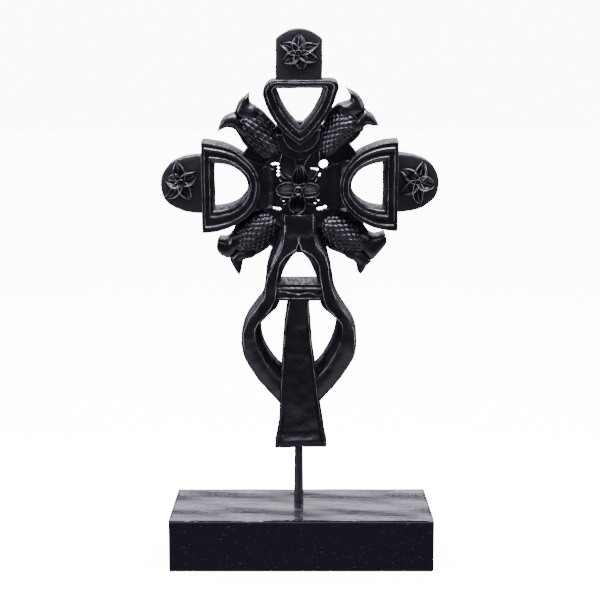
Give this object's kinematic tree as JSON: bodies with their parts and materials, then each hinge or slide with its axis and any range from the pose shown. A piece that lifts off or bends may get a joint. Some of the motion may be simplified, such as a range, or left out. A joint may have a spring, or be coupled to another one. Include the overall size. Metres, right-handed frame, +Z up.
{
  "type": "carved wooden cross",
  "caption": "Openwork wooden cross with flowered tabs, moulded frames, scaled buds and a looped, flared leg, standing on a short rod in a plain wooden block.",
  "frame": {"origin": "middle of the underside of the block, below the middle of the cross", "axes": "+Z up, +X to the viewer's right, and the carved face looks along -Y"},
  "size_m": [0.2032, 0.084, 0.3972],
  "materials": {
    "cross": "hand-carved hardwood, stained black and waxed to a gloss",
    "rod": "round steel rod, blackened, satin",
    "base_block": "open-grained wood, stained black and lacquered"
  },
  "bodies": {
    "root": {"cross": "cross", "rod": "rod", "base_block": "base_block"}
  },
  "joints": []
}
